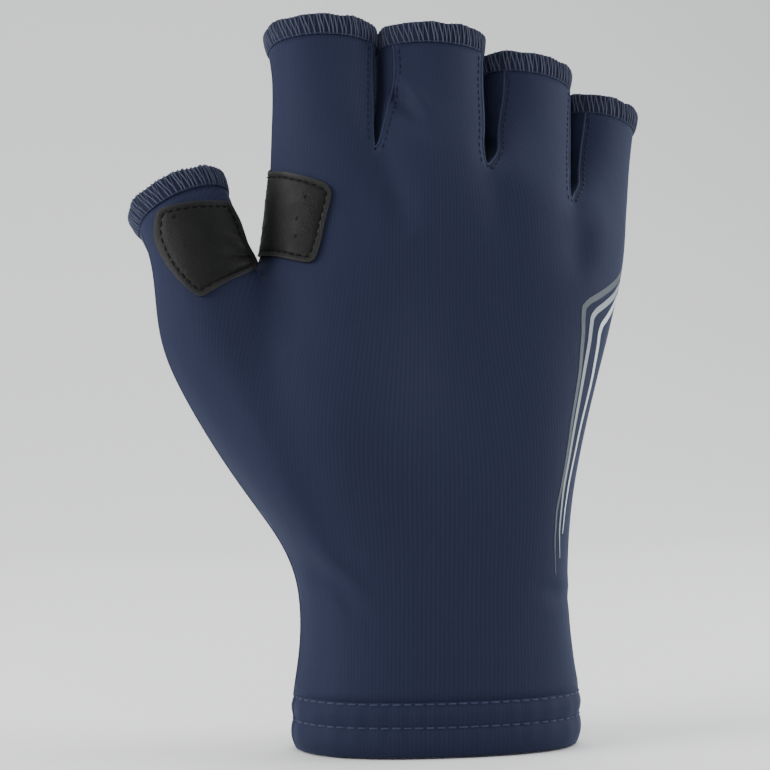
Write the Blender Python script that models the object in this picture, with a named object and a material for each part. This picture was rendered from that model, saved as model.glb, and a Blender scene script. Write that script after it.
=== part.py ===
"""A fingerless boating glove for the left hand, in the open form that it takes on a hand.

The palm side faces -Y, the fingers point up and the thumb is toward -X.
The origin is the middle of the cuff's mouth. The hand comes in there along +Z.
Lengths are in metres, and the tables hold shares of the named sizes.
"""

import math

import bmesh
import bpy
from mathutils import Matrix, Vector

# Length from the cuff's mouth to the longest finger, breadth at the knuckles, depth at the wrist.
LENGTH = 0.180
BREADTH = 0.092
DEPTH = 0.042

# Thickness of the knit, room left at each seam, and the turned hem at the cuff.
WALL = 0.0012
GAP = 0.0004
HEM_HEIGHT = 0.0155
HEM_THICKNESS = 0.0024

# The thread-covered edge at each finger opening.
EDGE_HEIGHT = 0.0050
EDGE_THICKNESS = 0.0021
EDGE_FLARE = 0.0005

# The two leather-look patches.
PATCH_THICKNESS = 0.0008

# Columns of the cloth grid: thumb, each finger and each flank, on one side of the hand.
THUMB_COLUMNS = 4
FINGER_COLUMNS = 5
FLANK_COLUMNS = 4
FINGERS = 4
COLUMNS = THUMB_COLUMNS + FINGERS * FINGER_COLUMNS

# Rows of the cloth grid below the thumb's fork, from there to the finger forks, and per digit.
LOWER_ROWS = 14
UPPER_ROWS = 5
FINGER_ROWS = 5
THUMB_ROWS = 4

# Edges that turn more than this, in degrees, are shaded as creases.
CREASE = 50.0

# A border that folds back further than this is drawn back along the cloth instead.
SHARP_CORNER = 0.5

# How far, and how often, the skin is relaxed toward its neighbours, and the most that a fold
# may lengthen the way out of it.
RELAX = 0.4
RELAX_ROUNDS = 3
MITRE_LIMIT = 1.3

# Share of the half width at which the flat faces end and the flanks begin.
FACE_SHARE = 0.84
OVAL_POWER = 2.3

# Outline of the hand up to the thumb's fork. Heights are shares of LENGTH,
# sides of BREADTH, depths of DEPTH.
HAND_COLUMNS = ("height", "thumb_side", "little_side", "palm", "back")
HAND = (
    (0.000, -0.390, 0.418, 0.51, 0.50),
    (0.060, -0.390, 0.412, 0.52, 0.50),
    (0.140, -0.371, 0.390, 0.51, 0.48),
    (0.220, -0.375, 0.378, 0.50, 0.46),
    (0.270, -0.408, 0.380, 0.51, 0.45),
    (0.330, -0.500, 0.391, 0.52, 0.44),
    (0.400, -0.598, 0.422, 0.51, 0.42),
    (0.470, -0.682, 0.464, 0.47, 0.40),
    (0.540, -0.752, 0.510, 0.42, 0.38),
    (0.600, -0.784, 0.546, 0.38, 0.36),
    (0.660, -0.800, 0.566, 0.35, 0.34),
)

# Outline from the thumb's fork to the finger forks.
KNUCKLES_COLUMNS = ("height", "thumb_side", "little_side", "palm", "back")
KNUCKLES = (
    (0.580, -0.490, 0.530, 0.39, 0.37),
    (0.650, -0.478, 0.566, 0.36, 0.35),
    (0.700, -0.462, 0.578, 0.34, 0.34),
    (0.740, -0.455, 0.582, 0.33, 0.33),
    (0.800, -0.446, 0.586, 0.31, 0.31),
    (0.840, -0.436, 0.588, 0.30, 0.30),
)

# Height of the thumb's fork and of the finger forks along the grid's columns, as shares of LENGTH.
FORK_COLUMNS = ("column", "thumb_fork", "finger_fork")
FORKS = (
    (0, 0.545, 0.800),
    (4, 0.617, 0.802),
    (9, 0.638, 0.800),
    (14, 0.620, 0.780),
    (19, 0.590, 0.737),
    (24, 0.565, 0.705),
)

# Where the finger forks lie across the palm side, as shares of BREADTH.
THUMB_FORK_AT = -0.478
FINGER_FORKS_AT = (-0.189, 0.128, 0.376)
FORK_SLANT = 0.035
FORK_BACK_DROP = 0.030
FORK_CROWN = 0.009

# How the row of knuckles bows toward the back of the hand, and the thumb lies forward of it.
# Both grow between two heights, as shares of LENGTH.
KNUCKLE_BOW = 0.0045
THUMB_FORWARD = 0.0050
BOW_START = 0.30
BOW_FULL = 0.70

# The web between thumb and palm: depth of its valley as a share of the palm's rise,
# its reach in columns, the share of the lower rows where it starts, and the web's crown.
VALLEY = 0.30
VALLEY_REACH = 1.6
VALLEY_START = 0.667
THUMB_WEB_CROWN = 0.0035

# Soft forms of the palm side: place across and up, reach across and up, and height of the swell.
SWELL_COLUMNS = ("across", "up", "reach_across", "reach_up", "height")
SWELLS = (
    (-0.36, 0.440, 0.24, 0.150, 0.0055),
    (0.30, 0.400, 0.17, 0.170, 0.0030),
    (0.02, 0.560, 0.14, 0.120, -0.0035),
    (0.05, 0.720, 0.30, 0.050, 0.0015),
    (-0.19, 0.770, 0.045, 0.050, -0.0020),
    (0.13, 0.755, 0.045, 0.060, -0.0022),
    (0.37, 0.705, 0.040, 0.060, -0.0018),
)

# Each digit's open end: middle of the cloth's last row, size there, and lean sideways and backward.
DIGIT_COLUMNS = (
    "name", "across", "away", "up", "width", "depth", "side_lean", "back_lean", "twist"
)
DIGITS = (
    ("thumb", -0.664, 0.12, 0.7195, 0.260, 0.52, -21.0, 30.0, 0.0),
    ("index", -0.289, 0.20, 0.947, 0.282, 0.50, -1.0, 17.0, 3.0),
    ("middle", 0.014, 0.19, 0.945, 0.291, 0.49, 1.0, 13.0, 6.0),
    ("ring", 0.298, 0.33, 0.912, 0.270, 0.47, 5.0, 14.0, 22.0),
    ("little", 0.532, 0.47, 0.861, 0.232, 0.43, 8.0, 15.0, 28.0),
)

# How slim a digit is halfway, and the shares of its length over which it takes its own section,
# its sideways lean and its backward lean.
DIGIT_WAIST = 0.985
SECTION_BY = 0.75
SIDE_LEAN_BY = 0.625
BACK_LEAN_BY = 0.77

# Outlines of the two patches on the palm side, as shares of BREADTH across and LENGTH up.
THUMB_PATCH = (
    (-0.735, 0.655),
    (-0.722, 0.688),
    (-0.662, 0.702),
    (-0.530, 0.706),
    (-0.500, 0.690),
    (-0.476, 0.650),
    (-0.478, 0.622),
    (-0.510, 0.612),
    (-0.560, 0.592),
    (-0.615, 0.575),
    (-0.665, 0.592),
    (-0.710, 0.625),
)
INDEX_PATCH = (
    (-0.600, 0.764),
    (-0.420, 0.770),
    (-0.345, 0.757),
    (-0.318, 0.738),
    (-0.325, 0.700),
    (-0.350, 0.655),
    (-0.380, 0.645),
    (-0.450, 0.650),
    (-0.600, 0.655),
)

# Sections of the edge band and of the hem: out from the cloth as shares of the thickness,
# and along as shares of the height.
EDGE_PROFILE = (
    (-0.62, 0.04),
    (-0.05, 0.03),
    (0.20, 0.18),
    (0.30, 0.55),
    (0.26, 0.88),
    (0.04, 1.00),
    (-0.34, 0.97),
    (-0.60, 0.78),
)

HEM_PROFILE = (
    (-1.00, 1.00),
    (0.00, 1.00),
    (0.00, 0.92),
    (0.14, 0.76),
    (0.00, 0.60),
    (0.13, 0.40),
    (0.09, 0.12),
    (-0.28, 0.00),
    (-0.80, 0.02),
)

# Colours of the knit, the thread and the patches.
KNIT = (0.030, 0.036, 0.055, 1.0)
KNIT_BACK = (0.034, 0.041, 0.062, 1.0)
GUSSET = (0.022, 0.026, 0.042, 1.0)
THREAD = (0.060, 0.072, 0.100, 1.0)
HIDE = (0.020, 0.020, 0.020, 1.0)
CLOTH_ROUGHNESS = 0.8
HIDE_ROUGHNESS = 0.55


def read(table, names, wanted, at):
    """The wanted column of a table at a place between its rows, as a smooth curve."""
    k = names.index(wanted)
    rows = [(row[0], row[k]) for row in table]
    if at <= rows[0][0]:
        return rows[0][1]
    if at >= rows[-1][0]:
        return rows[-1][1]
    n = max(i for i, row in enumerate(rows[:-1]) if row[0] <= at)
    before = rows[max(n - 1, 0)]
    low, high = rows[n], rows[n + 1]
    after = rows[min(n + 2, len(rows) - 1)]
    span = high[0] - low[0]
    t = (at - low[0]) / span
    rise_low = (high[1] - before[1]) / (high[0] - before[0]) * span
    rise_high = (after[1] - low[1]) / (after[0] - low[0]) * span
    return (
        (2 * t**3 - 3 * t**2 + 1) * low[1]
        + (t**3 - 2 * t**2 + t) * rise_low
        + (3 * t**2 - 2 * t**3) * high[1]
        + (t**3 - t**2) * rise_high
    )


def smooth(t):
    t = min(max(t, 0.0), 1.0)
    return t * t * (3.0 - 2.0 * t)


def mix(a, b, t):
    return a + (b - a) * t


def face_rise(share):
    """Share of the depth that an oval has at a share of its half width."""
    return (1.0 - abs(share) ** OVAL_POWER) ** (1.0 / OVAL_POWER)


def flank(n):
    """Width and depth shares of point n of a flank, going from the palm side to the back."""
    end = math.acos(FACE_SHARE ** (OVAL_POWER / 2.0))
    turn = end * (1.0 - 2.0 * n / FLANK_COLUMNS)
    out = math.cos(turn) ** (2.0 / OVAL_POWER)
    up = abs(math.sin(turn)) ** (2.0 / OVAL_POWER)
    return out, math.copysign(up, turn) if abs(turn) > 1e-9 else 0.0


def oval_ring(columns):
    """Shares across and toward the palm side of a whole oval ring of points."""
    faces = [mix(-FACE_SHARE, FACE_SHARE, i / columns) for i in range(columns + 1)]
    sides = [flank(n) for n in range(1, FLANK_COLUMNS)]
    ring = [(u, face_rise(u)) for u in faces]
    ring += [(out, up) for out, up in sides]
    ring += [(u, -face_rise(u)) for u in reversed(faces)]
    ring += [(-out, up) for out, up in reversed(sides)]
    return ring


def swell(across, up):
    """How far the palm side stands out at a place on the hand."""
    total = 0.0
    for x, z, reach_x, reach_z, height in SWELLS:
        total += height * math.exp(-(((across - x) / reach_x) ** 2) - ((up - z) / reach_z) ** 2)
    return total


POINTS = {}


def fork_height(column, which):
    return LENGTH * read(FORKS, FORK_COLUMNS, which, column)


def settle(name, x, depth_share, palm, back, z, side):
    """Stores one point of the hand's skin, with its palm form, bow and forward thumb."""
    reach = palm if depth_share > 0 else back
    y = -DEPTH * reach * depth_share
    if depth_share > 0:
        y -= swell(x / BREADTH, z / LENGTH) * min(1.0, depth_share / 0.6)
    rise = smooth((z / LENGTH - BOW_START) / (BOW_FULL - BOW_START))
    bow = max(x, THUMB_FORK_AT * BREADTH) / (0.5 * BREADTH)
    y += KNUCKLE_BOW * bow * bow * rise
    y -= THUMB_FORWARD * side * rise
    POINTS[name] = Vector((x, y, z))


def lower_row(row):
    """One ring of points round the hand below the thumb's fork."""
    t = row / LOWER_ROWS
    heights = [mix(HEM_HEIGHT, fork_height(i, "thumb_fork"), t) for i in range(COLUMNS + 1)]
    low = heights[0] / LENGTH
    high = heights[-1] / LENGTH
    left = BREADTH * read(HAND, HAND_COLUMNS, "thumb_side", low)
    right = BREADTH * read(HAND, HAND_COLUMNS, "little_side", high)
    middle = 0.5 * (left + right)
    half = 0.5 * (right - left)
    first = middle - FACE_SHARE * half
    last = middle + FACE_SHARE * half
    even = mix(first, last, THUMB_COLUMNS / COLUMNS)
    fork = mix(even, THUMB_FORK_AT * BREADTH, smooth(t))
    for i in range(COLUMNS + 1):
        if i <= THUMB_COLUMNS:
            x = mix(first, fork, i / THUMB_COLUMNS)
        else:
            x = mix(fork, last, (i - THUMB_COLUMNS) / (COLUMNS - THUMB_COLUMNS))
        share = (x - middle) / half
        z = heights[i]
        side = smooth(1.0 - i / THUMB_COLUMNS)
        palm = read(HAND, HAND_COLUMNS, "palm", z / LENGTH)
        back = read(HAND, HAND_COLUMNS, "back", z / LENGTH)
        near = math.exp(-(((i - THUMB_COLUMNS) / VALLEY_REACH) ** 2))
        sink = VALLEY * smooth((t - VALLEY_START) / (1.0 - VALLEY_START)) * near
        rise = face_rise(share) * (1.0 - sink)
        settle(("palm", i, row), x, rise, palm, back, z, side)
        settle(("back", i, row), x, -rise, palm, back, z, side)
    for n in range(1, FLANK_COLUMNS):
        out, up = flank(n)
        little, thumb = ("little_flank", 1, heights[-1], 0), ("thumb_flank", -1, heights[0], 1)
        for name, sign, z, side in (little, thumb):
            palm = read(HAND, HAND_COLUMNS, "palm", z / LENGTH)
            back = read(HAND, HAND_COLUMNS, "back", z / LENGTH)
            settle((name, n, row), middle + sign * half * out, up, palm, back, z, side)


def fork_line(front, back, name, crown):
    """Points of a fork from the palm side to the back, bowed upward."""
    for n in range(1, FLANK_COLUMNS):
        t = n / FLANK_COLUMNS
        point = POINTS[front].lerp(POINTS[back], t)
        point.z += crown * 4.0 * t * (1.0 - t)
        POINTS[(name, n)] = point


def fork_places():
    """Places across the hand of the grid's columns at the finger forks."""
    height = fork_height(THUMB_COLUMNS, "finger_fork") / LENGTH
    left = BREADTH * read(KNUCKLES, KNUCKLES_COLUMNS, "thumb_side", height)
    height = fork_height(COLUMNS, "finger_fork") / LENGTH
    right = BREADTH * read(KNUCKLES, KNUCKLES_COLUMNS, "little_side", height)
    middle = 0.5 * (left + right)
    half = 0.5 * (right - left)
    ends = [middle - FACE_SHARE * half]
    ends += [BREADTH * at for at in FINGER_FORKS_AT]
    ends += [middle + FACE_SHARE * half]
    places = []
    for finger in range(FINGERS):
        for i in range(FINGER_COLUMNS):
            places.append(mix(ends[finger], ends[finger + 1], i / FINGER_COLUMNS))
    places.append(ends[-1])
    return places


def upper_row(row):
    """One ring of points from the thumb's fork up to the finger forks."""
    t = (row - LOWER_ROWS) / UPPER_ROWS
    knuckles = range(THUMB_COLUMNS, COLUMNS + 1)
    heights = {
        i: mix(fork_height(i, "thumb_fork"), fork_height(i, "finger_fork"), t) for i in knuckles
    }
    low = heights[THUMB_COLUMNS] / LENGTH
    high = heights[COLUMNS] / LENGTH
    left = BREADTH * read(KNUCKLES, KNUCKLES_COLUMNS, "thumb_side", low)
    right = BREADTH * read(KNUCKLES, KNUCKLES_COLUMNS, "little_side", high)
    middle = 0.5 * (left + right)
    half = 0.5 * (right - left)
    places = fork_places()
    for i in knuckles:
        even = POINTS[("palm", i, LOWER_ROWS)].x
        x = mix(even, places[i - THUMB_COLUMNS], smooth(t))
        if i == THUMB_COLUMNS:
            x = middle - FACE_SHARE * half
        share = max(min((x - middle) / half, FACE_SHARE), -FACE_SHARE)
        z = heights[i]
        palm = read(KNUCKLES, KNUCKLES_COLUMNS, "palm", z / LENGTH)
        back = read(KNUCKLES, KNUCKLES_COLUMNS, "back", z / LENGTH)
        rise = face_rise(share)
        slant = FORK_SLANT * BREADTH * smooth(t) * (1.0 - share * share)
        drop = FORK_BACK_DROP * LENGTH * t
        settle(("palm", i, row), x, rise, palm, back, z, 0)
        settle(("back", i, row), x + slant, -rise, palm, back, z - drop, 0)
    for n in range(1, FLANK_COLUMNS):
        out, up = flank(n)
        drop = FORK_BACK_DROP * LENGTH * t * n / FLANK_COLUMNS
        for name, sign, i in (("little_flank", 1, COLUMNS), ("fork", -1, THUMB_COLUMNS)):
            z = heights[i]
            palm = read(KNUCKLES, KNUCKLES_COLUMNS, "palm", z / LENGTH)
            back = read(KNUCKLES, KNUCKLES_COLUMNS, "back", z / LENGTH)
            settle((name, n, row), middle + sign * half * out, up, palm, back, z - drop, 0)


def digit_base(digit):
    """Names of the points round the foot of a digit, in the order of oval_ring."""
    if digit == 0:
        first, last, row = 0, THUMB_COLUMNS, LOWER_ROWS
        outer = [("fork", n, LOWER_ROWS) for n in range(1, FLANK_COLUMNS)]
        inner = [("thumb_flank", n, LOWER_ROWS) for n in range(1, FLANK_COLUMNS)]
    else:
        first = THUMB_COLUMNS + (digit - 1) * FINGER_COLUMNS
        last, row = first + FINGER_COLUMNS, LOWER_ROWS + UPPER_ROWS
        inner = [(f"web_{digit - 1}", n) for n in range(1, FLANK_COLUMNS)]
        outer = [(f"web_{digit}", n) for n in range(1, FLANK_COLUMNS)]
        if digit == 1:
            inner = [("fork", n, row) for n in range(1, FLANK_COLUMNS)]
        if digit == FINGERS:
            outer = [("little_flank", n, row) for n in range(1, FLANK_COLUMNS)]
    ring = [("palm", i, row) for i in range(first, last + 1)]
    ring += outer
    ring += [("back", i, row) for i in range(last, first - 1, -1)]
    ring += inner[::-1]
    return ring


def lean_frame(side_lean, back_lean):
    """Turns a level ring so that its axis leans sideways, then backward."""
    side = Matrix.Rotation(math.radians(side_lean), 3, "Y")
    back = Matrix.Rotation(math.radians(-back_lean), 3, "X")
    return back @ side


def digit_rows(digit):
    return THUMB_ROWS if digit == 0 else FINGER_ROWS


def grow_digit(digit):
    """Stores the rings of points of one digit, from its foot to its open end."""
    name, across, away, up, width, depth, side_lean, back_lean, twist = DIGITS[digit]
    base = [POINTS[key] for key in digit_base(digit)]
    foot = sum(base, Vector()) / len(base)
    tip = Vector((BREADTH * across, DEPTH * away, LENGTH * up))
    frame = lean_frame(side_lean, back_lean)
    axis = frame @ Vector((0.0, 0.0, 1.0))
    length = (tip - foot).length
    bend = tip - axis * (0.5 * length)
    columns = THUMB_COLUMNS if digit == 0 else FINGER_COLUMNS
    ring = oval_ring(columns)
    rows = digit_rows(digit)
    for q in range(1, rows + 1):
        t = q / rows
        centre = foot * (1.0 - t) ** 2 + bend * (2.0 * t * (1.0 - t)) + tip * t**2
        turn = lean_frame(side_lean * smooth(t / SIDE_LEAN_BY), back_lean * smooth(t / BACK_LEAN_BY))
        waist = mix(1.0, DIGIT_WAIST, math.sin(math.pi * t))
        blend = smooth(t / SECTION_BY)
        about = Matrix.Rotation(math.radians(twist * smooth(t)), 3, "Z")
        for n, (u, v) in enumerate(ring):
            half_width = 0.5 * BREADTH * width * waist
            half_depth = 0.5 * DEPTH * depth * waist
            place = centre + turn @ about @ Vector((u * half_width, -v * half_depth, 0.0))
            carried = base[n] + (centre - foot)
            POINTS[(name, n, q)] = carried.lerp(place, blend)


def build_points():
    for row in range(LOWER_ROWS + 1):
        lower_row(row)
    for row in range(LOWER_ROWS + 1, LOWER_ROWS + UPPER_ROWS + 1):
        upper_row(row)
    top = LOWER_ROWS + UPPER_ROWS
    start = THUMB_COLUMNS
    fork_line(("palm", start, LOWER_ROWS), ("back", start, LOWER_ROWS), "thumb_web", THUMB_WEB_CROWN)
    for n in range(1, FLANK_COLUMNS):
        POINTS[("fork", n, LOWER_ROWS)] = POINTS[("thumb_web", n)]
    for finger in range(1, FINGERS):
        i = THUMB_COLUMNS + finger * FINGER_COLUMNS
        fork_line(("palm", i, top), ("back", i, top), f"web_{finger}", FORK_CROWN * LENGTH)
    for digit in range(len(DIGITS)):
        grow_digit(digit)


CELLS = []


def flank_owner(n, palm_owner, back_owner):
    return palm_owner if n < FLANK_COLUMNS // 2 else back_owner


def ring_owners(columns, outer, inner):
    """Which piece each column of a ring belongs to. A flank can be one piece or two."""
    owners = ["palm_panel"] * columns
    owners += [flank_owner(n, *outer) for n in range(FLANK_COLUMNS)]
    owners += ["back_panel"] * columns
    owners += [flank_owner(FLANK_COLUMNS - 1 - n, *inner) for n in range(FLANK_COLUMNS)]
    return owners


def bridge(low, high, owners):
    """Stores the cells of cloth between two rings of points."""
    count = len(low)
    for n in range(count):
        m = (n + 1) % count
        CELLS.append((owners[n], (low[n], low[m], high[m], high[n])))


def hand_ring(row):
    """Names of the points of one ring round the hand."""
    start = 0 if row < LOWER_ROWS else THUMB_COLUMNS
    inner = "thumb_flank" if row < LOWER_ROWS else "fork"
    ring = [("palm", i, row) for i in range(start, COLUMNS + 1)]
    ring += [("little_flank", n, row) for n in range(1, FLANK_COLUMNS)]
    ring += [("back", i, row) for i in range(COLUMNS, start - 1, -1)]
    ring += [(inner, n, row) for n in range(FLANK_COLUMNS - 1, 0, -1)]
    return ring


def fork_ring():
    """The last ring below the thumb's fork, which still goes round the thumb."""
    row = LOWER_ROWS
    ring = [("palm", i, row) for i in range(COLUMNS + 1)]
    ring += [("little_flank", n, row) for n in range(1, FLANK_COLUMNS)]
    ring += [("back", i, row) for i in range(COLUMNS, -1, -1)]
    ring += [("thumb_flank", n, row) for n in range(FLANK_COLUMNS - 1, 0, -1)]
    return ring


def digit_ring(digit, q):
    if q == 0:
        return digit_base(digit)
    name = DIGITS[digit][0]
    return [(name, n, q) for n in range(len(digit_base(digit)))]


def gusset_name(finger):
    return f"{DIGITS[finger][0]}_{DIGITS[finger + 1][0]}_gusset"


def build_cells():
    both = ("palm_panel", "back_panel")
    owners = ring_owners(COLUMNS, both, both)
    for row in range(LOWER_ROWS):
        high = fork_ring() if row == LOWER_ROWS - 1 else hand_ring(row + 1)
        bridge(hand_ring(row), high, owners)
    owners = ring_owners(COLUMNS - THUMB_COLUMNS, both, both)
    for row in range(LOWER_ROWS, LOWER_ROWS + UPPER_ROWS):
        bridge(hand_ring(row), hand_ring(row + 1), owners)
    for digit in range(len(DIGITS)):
        columns = THUMB_COLUMNS if digit == 0 else FINGER_COLUMNS
        inner = (gusset_name(digit - 1),) * 2 if digit > 1 else both
        outer = (gusset_name(digit),) * 2 if 0 < digit < FINGERS else both
        owners = ring_owners(columns, outer, inner)
        for q in range(digit_rows(digit)):
            bridge(digit_ring(digit, q), digit_ring(digit, q + 1), owners)


NORMALS = {}


def build_normals():
    """Relaxes the skin, then stores the way out of it, long enough to keep the wall even."""
    skin = bmesh.new()
    keys = dict.fromkeys(key for _, cell in CELLS for key in cell)
    made = {key: skin.verts.new(POINTS[key]) for key in keys}
    for _, cell in CELLS:
        skin.faces.new([made[key] for key in cell])
    loose = [vert for vert in skin.verts if not vert.is_boundary]
    for _ in range(RELAX_ROUNDS):
        bmesh.ops.smooth_vert(
            skin, verts=loose, factor=RELAX, use_axis_x=True, use_axis_y=True, use_axis_z=True
        )
    skin.normal_update()
    for key, vert in made.items():
        POINTS[key] = vert.co.copy()
    for key, vert in made.items():
        NORMALS[key] = vert.normal * min(vert.calc_shell_factor(), MITRE_LIMIT)
    skin.free()


def drawn_back(cells):
    """Places of a piece's points, with its borders drawn back by half of the seam's room."""
    uses = {}
    for cell in cells:
        for n in range(4):
            edge = frozenset((cell[n], cell[(n + 1) % 4]))
            uses[edge] = uses.get(edge, 0) + 1
    inward = {}
    inside = {}
    for cell in cells:
        corners = [POINTS[key] for key in cell]
        out = (corners[2] - corners[0]).cross(corners[3] - corners[1])
        for n in range(4):
            a, b = cell[n], cell[(n + 1) % 4]
            along = (POINTS[b] - POINTS[a]).normalized()
            if uses[frozenset((a, b))] > 1:
                inside[a] = inside.get(a, Vector()) + along
                continue
            way = out.cross(along).normalized()
            for key in (a, b):
                inward.setdefault(key, []).append(way)
    places = {key: POINTS[key].copy() for cell in cells for key in cell}
    for key, ways in inward.items():
        facing = 1.0 + ways[0].dot(ways[-1])
        if facing > SHARP_CORNER:
            places[key] += sum(ways, Vector()) / len(ways) * (2.0 / facing) * (0.5 * GAP)
        else:
            places[key] += inside[key].normalized() * (0.5 * GAP)
    return places, uses


def halves(cell):
    """A cell as two triangles, split along its shorter diagonal, the same way in every piece."""
    a, b, c, d = cell
    if (POINTS[a] - POINTS[c]).length < (POINTS[b] - POINTS[d]).length:
        return (a, b, c), (a, c, d)
    return (a, b, d), (b, c, d)


def sheet(cells, low, high):
    """A closed sheet over some cells, between two distances out from the cloth's outer face."""
    places, uses = drawn_back(cells)
    solid = bmesh.new()
    bottom = {key: solid.verts.new(at + NORMALS[key] * low) for key, at in places.items()}
    top = {key: solid.verts.new(at + NORMALS[key] * high) for key, at in places.items()}
    for cell in cells:
        for corners in halves(cell):
            solid.faces.new([top[key] for key in corners])
            solid.faces.new([bottom[key] for key in reversed(corners)])
        for n in range(4):
            a, b = cell[n], cell[(n + 1) % 4]
            if uses[frozenset((a, b))] > 1:
                continue
            if str(a) < str(b):
                solid.faces.new([bottom[a], bottom[b], top[b]])
                solid.faces.new([bottom[a], top[b], top[a]])
            else:
                solid.faces.new([bottom[a], bottom[b], top[a]])
                solid.faces.new([bottom[b], top[b], top[a]])
    return solid


def finish(solid, name, material):
    """Makes a scene object of a closed body, with its material and smooth shading."""
    bmesh.ops.recalc_face_normals(solid, faces=solid.faces)
    mesh = bpy.data.meshes.new(name)
    solid.to_mesh(mesh)
    solid.free()
    mesh.materials.append(material)
    body = bpy.data.objects.new(name, mesh)
    bpy.context.scene.collection.objects.link(body)
    mesh.shade_smooth()
    mesh.set_sharp_from_angle(angle=math.radians(CREASE))
    return body


def cloth(name, colour, rough):
    material = bpy.data.materials.new(name)
    material.use_nodes = True
    shader = material.node_tree.nodes["Principled BSDF"]
    shader.inputs["Base Color"].default_value = colour
    shader.inputs["Roughness"].default_value = rough
    return material


def band(ring, ways, axis, profile):
    """A closed band swept round a ring of points. The profile holds distances out and along."""
    solid = bmesh.new()
    rows = []
    for n, point in enumerate(ring):
        rows.append([solid.verts.new(point + ways[n] * o + axis * a) for o, a in profile])
    for n, row in enumerate(rows):
        after = rows[(n + 1) % len(rows)]
        for k in range(len(profile)):
            m = (k + 1) % len(profile)
            solid.faces.new([row[k], row[m], after[m], after[k]])
    return solid


def open_end(ring_keys, before_keys):
    """Points, outward ways and onward ways at the open end of a tube of cloth."""
    ring = [POINTS[key] for key in ring_keys]
    onward = [(POINTS[a] - POINTS[b]).normalized() for a, b in zip(ring_keys, before_keys)]
    axis = sum(onward, Vector()).normalized()
    ways = [(NORMALS[key] - axis * NORMALS[key].dot(axis)).normalized() for key in ring_keys]
    return ring, ways, axis


def add_edge(digit, material):
    """The thread-covered edge round one digit's opening, flaring a little outward."""
    rows = digit_rows(digit)
    ring, ways, axis = open_end(digit_ring(digit, rows), digit_ring(digit, rows - 1))
    profile = []
    for out, along in EDGE_PROFILE:
        flare = EDGE_FLARE * along * along
        profile.append((out * EDGE_THICKNESS + flare, 0.5 * GAP + along * EDGE_HEIGHT))
    return finish(band(ring, ways, axis, profile), f"{DIGITS[digit][0]}_edge", material)


def add_hem(material):
    """The turned hem: two layers of cloth held by two rows of stitching."""
    ring, ways, _ = open_end(hand_ring(0), hand_ring(1))
    floor = [Vector((point.x, point.y, 0.0)) for point in ring]
    top = HEM_HEIGHT - 0.5 * GAP
    profile = [(out * HEM_THICKNESS, along * top) for out, along in HEM_PROFILE]
    return finish(band(floor, ways, Vector((0.0, 0.0, 1.0)), profile), "cuff_hem", material)


def add_patch(name, cells, outline, material):
    """A patch that follows the cloth under it, cut to its outline."""
    solid = sheet(cells, GAP, GAP + PATCH_THICKNESS)
    body = finish(solid, name, material)
    cutter = bmesh.new()
    near = [cutter.verts.new((BREADTH * x, -DEPTH, LENGTH * z)) for x, z in outline]
    far = [cutter.verts.new((BREADTH * x, DEPTH, LENGTH * z)) for x, z in outline]
    cutter.faces.new(near)
    cutter.faces.new(far[::-1])
    for n in range(len(outline)):
        m = (n + 1) % len(outline)
        cutter.faces.new([near[n], near[m], far[m], far[n]])
    tool = finish(cutter, f"{name}_outline", material)
    tool.hide_render = True
    tool.display_type = "WIRE"
    cut = body.modifiers.new("outline", "BOOLEAN")
    cut.operation = "INTERSECT"
    cut.solver = "EXACT"
    cut.object = tool
    return body


def on_thumb_face(key):
    """Whether a point lies on the palm side of the thumb or of its root."""
    if key[0] == "palm":
        return key[1] <= THUMB_COLUMNS + 1 and LOWER_ROWS - 4 <= key[2] <= LOWER_ROWS
    return key[0] == "thumb" and key[1] <= THUMB_COLUMNS + 1


def on_index_root(key):
    """Whether a point lies on the palm or on the thumb's side below the index finger."""
    if key[0] == "palm":
        return THUMB_COLUMNS <= key[1] <= THUMB_COLUMNS + FINGER_COLUMNS and key[2] >= LOWER_ROWS
    return key[0] == "fork" and key[2] >= LOWER_ROWS


def cells_where(chosen):
    return [cell for _, cell in CELLS if all(chosen(key) for key in cell)]


def clear_scene():
    for thing in list(bpy.data.objects):
        bpy.data.objects.remove(thing, do_unlink=True)


def build():
    clear_scene()
    build_points()
    build_cells()
    build_normals()
    knit = cloth("knit", KNIT, CLOTH_ROUGHNESS)
    knit_back = cloth("knit_back", KNIT_BACK, CLOTH_ROUGHNESS)
    gusset = cloth("gusset_knit", GUSSET, CLOTH_ROUGHNESS)
    thread = cloth("thread", THREAD, CLOTH_ROUGHNESS)
    hide = cloth("synthetic_leather", HIDE, HIDE_ROUGHNESS)
    materials = {"palm_panel": knit, "back_panel": knit_back}
    for finger in range(1, FINGERS):
        materials[gusset_name(finger)] = gusset
    for name, material in materials.items():
        cells = [cell for owner, cell in CELLS if owner == name]
        finish(sheet(cells, -WALL, 0.0), name, material)
    for digit in range(len(DIGITS)):
        add_edge(digit, thread)
    add_hem(knit)
    add_patch("thumb_patch", cells_where(on_thumb_face), THUMB_PATCH, hide)
    add_patch("index_patch", cells_where(on_index_root), INDEX_PATCH, hide)


build()
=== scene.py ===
# %% [markdown]
# # A fingerless boating glove
# The real glove is sewn from a fine stretch knit: one panel for the palm, one for the back,
# and a narrow strip between each pair of fingers. Thread wraps each cut finger opening, the
# cuff is turned up and held by two rows of stitches, and two dark patches give grip.
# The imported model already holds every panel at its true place, so this lesson dresses it:
# smoother cloth, soft folds, seams, stitches, patches, stripes, and then light and camera.

# %% Load the frame
import math

import bpy
import numpy as np
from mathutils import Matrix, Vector
from mathutils.bvhtree import BVHTree


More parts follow.
